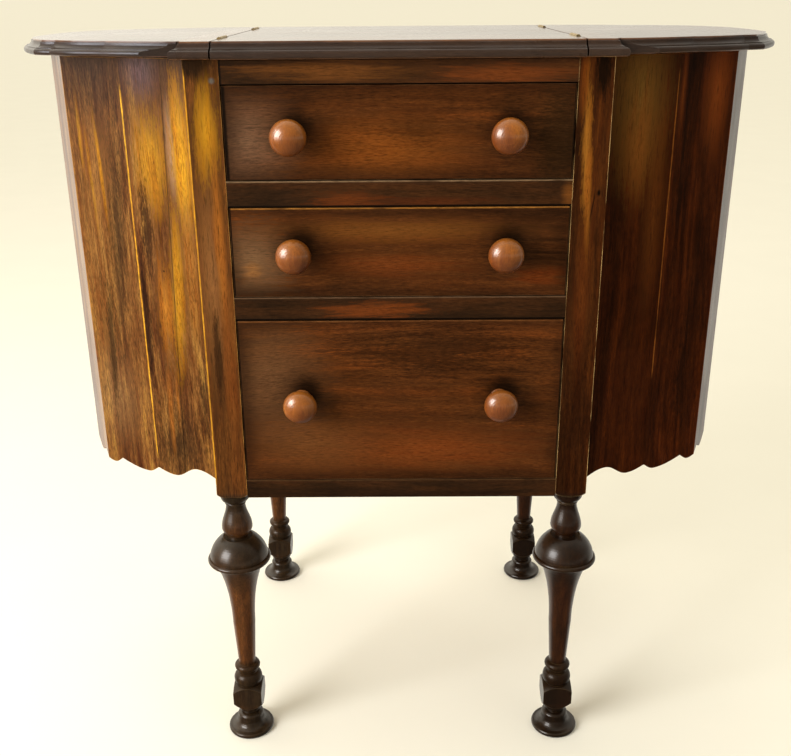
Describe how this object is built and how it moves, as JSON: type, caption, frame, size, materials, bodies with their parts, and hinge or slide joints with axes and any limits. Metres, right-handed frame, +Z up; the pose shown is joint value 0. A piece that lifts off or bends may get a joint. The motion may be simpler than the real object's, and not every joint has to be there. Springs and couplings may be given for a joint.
{
  "type": "sewing cabinet",
  "caption": "Wooden sewing cabinet: a chest of drawers on turned legs with a faceted, scalloped bin on each side under a hinged lid with a moulded, lobed edge.",
  "frame": {"origin": "on the floor, under the middle of the part's box", "axes": "+Z up, drawers and knobs face -Y, -X is the left bin seen from the front"},
  "size_m": [0.7284, 0.3993, 0.7382],
  "materials": {
    "leg_wood": "satin dark mahogany",
    "rail_wood": "satin dark mahogany",
    "chest_wood": "satin mahogany",
    "top_wood": "glossy mahogany",
    "inner_wood": "plain unfinished wood",
    "bin_wood_left": "satin ribbon-striped mahogany",
    "bin_wood_right": "satin ribbon-striped mahogany",
    "knob_wood": "glossy turned mahogany",
    "hinge_brass": "aged brass",
    "drawer_wood": "satin mahogany"
  },
  "bodies": {
    "carcass": {"post_front_left": "leg_wood", "post_front_right": "leg_wood", "post_rear_left": "leg_wood", "post_rear_right": "leg_wood", "rail_top": "rail_wood", "rail_upper": "rail_wood", "rail_lower": "rail_wood", "rail_bottom": "rail_wood", "side_left": "chest_wood", "side_right": "chest_wood", "back_panel": "chest_wood", "top_board": "top_wood", "runner_1_left": "inner_wood", "runner_1_right": "inner_wood", "runner_2_left": "inner_wood", "runner_2_right": "inner_wood", "runner_3_left": "inner_wood", "runner_3_right": "inner_wood", "bin_left_front": "bin_wood_left", "bin_left_front_side": "bin_wood_left", "bin_left_end": "bin_wood_left", "bin_left_rear_side": "bin_wood_left", "bin_left_rear": "bin_wood_left", "bin_left_floor": "inner_wood", "bin_right_front": "bin_wood_right", "bin_right_front_side": "bin_wood_right", "bin_right_end": "bin_wood_right", "bin_right_rear_side": "bin_wood_right", "bin_right_rear": "bin_wood_right", "bin_right_floor": "inner_wood", "hinge_left_front_fixed": "hinge_brass", "hinge_left_rear_fixed": "hinge_brass", "hinge_right_front_fixed": "hinge_brass", "hinge_right_rear_fixed": "hinge_brass"},
    "lid_left": {"lid_left_strip": "top_wood", "lid_left_board": "top_wood", "hinge_left_front_moving": "hinge_brass", "hinge_left_rear_moving": "hinge_brass"},
    "lid_right": {"lid_right_strip": "top_wood", "lid_right_board": "top_wood", "hinge_right_front_moving": "hinge_brass", "hinge_right_rear_moving": "hinge_brass"},
    "drawer_1": {"drawer_1_front": "drawer_wood", "drawer_1_box": "inner_wood", "drawer_1_bottom": "inner_wood", "drawer_1_knob_left": "knob_wood", "drawer_1_knob_right": "knob_wood"},
    "drawer_2": {"drawer_2_front": "drawer_wood", "drawer_2_box": "inner_wood", "drawer_2_bottom": "inner_wood", "drawer_2_knob_left": "knob_wood", "drawer_2_knob_right": "knob_wood"},
    "drawer_3": {"drawer_3_front": "drawer_wood", "drawer_3_box": "inner_wood", "drawer_3_bottom": "inner_wood", "drawer_3_knob_left": "knob_wood", "drawer_3_knob_right": "knob_wood"}
  },
  "joints": [
    {"name": "lid_left_hinge", "type": "hinge", "parent": "carcass", "child": "lid_left", "pos_m": [-0.1605, 0, 0.7361], "axis": [0, 1, 0], "range_deg": [0, 100]},
    {"name": "lid_right_hinge", "type": "hinge", "parent": "carcass", "child": "lid_right", "pos_m": [0.1605, 0, 0.7361], "axis": [0, -1, 0], "range_deg": [0, 100]},
    {"name": "drawer_1_slide", "type": "slide", "parent": "carcass", "child": "drawer_1", "axis": [0, -1, 0], "range_m": [0, 0.22]},
    {"name": "drawer_2_slide", "type": "slide", "parent": "carcass", "child": "drawer_2", "axis": [0, -1, 0], "range_m": [0, 0.22]},
    {"name": "drawer_3_slide", "type": "slide", "parent": "carcass", "child": "drawer_3", "axis": [0, -1, 0], "range_m": [0, 0.22]}
  ]
}
